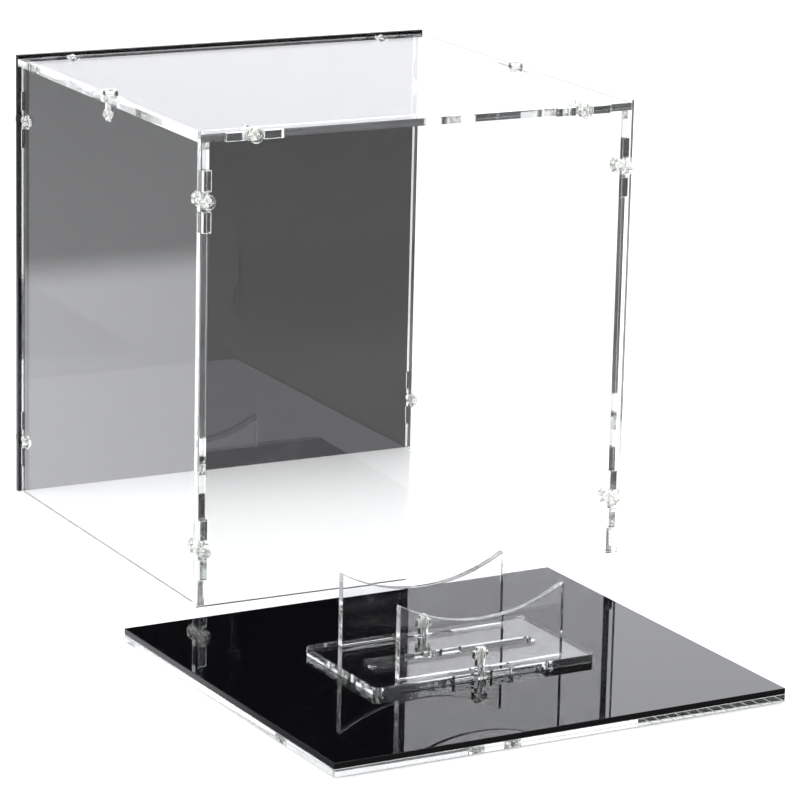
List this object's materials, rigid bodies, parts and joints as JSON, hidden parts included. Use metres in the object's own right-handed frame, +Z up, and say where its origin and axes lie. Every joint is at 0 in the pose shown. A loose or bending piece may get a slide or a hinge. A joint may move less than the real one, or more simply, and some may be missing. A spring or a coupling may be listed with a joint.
{
  "type": "ball display case",
  "caption": "Clear sheet display case for a ball: a low black-topped base with a cradle stand, and an open-bottomed cover with a black back that lifts off, held by tabs and screws.",
  "frame": {"origin": "centre of the base's underside, on the surface it stands on", "axes": "+Z up, -Y towards the viewer of the base's front edge, +X to the right; the cover stands behind the base, to the right"},
  "size_m": [0.3133, 0.495, 0.248],
  "materials": {
    "clear_acrylic": "clear cast acrylic sheet, laser cut edges",
    "black_acrylic": "polished black acrylic sheet",
    "fastener_plastic": "clear moulded plastic"
  },
  "bodies": {
    "base": {"base_lower_plate": "clear_acrylic", "base_top_plate": "black_acrylic", "stand_foot_plate": "clear_acrylic", "stand_front_cradle": "clear_acrylic", "stand_back_cradle": "clear_acrylic", "stand_screws": "fastener_plastic", "stand_nuts": "fastener_plastic"},
    "cover": {"front_panel": "clear_acrylic", "back_panel": "black_acrylic", "left_panel": "clear_acrylic", "right_panel": "clear_acrylic", "top_panel": "clear_acrylic", "front_left_screws": "fastener_plastic", "front_right_screws": "fastener_plastic", "front_top_screws": "fastener_plastic", "back_left_screws": "fastener_plastic", "back_right_screws": "fastener_plastic", "back_top_screws": "fastener_plastic", "top_left_screw": "fastener_plastic", "top_right_screw": "fastener_plastic", "front_left_nuts": "fastener_plastic", "front_right_nuts": "fastener_plastic", "front_top_nuts": "fastener_plastic", "back_left_nuts": "fastener_plastic", "back_right_nuts": "fastener_plastic", "back_top_nuts": "fastener_plastic", "top_left_nut": "fastener_plastic", "top_right_nut": "fastener_plastic"}
  },
  "joints": [
    {"name": "cover_lift", "type": "slide", "parent": "base", "child": "cover", "axis": [0, 0, 1], "range_m": [0, 0.26]}
  ]
}
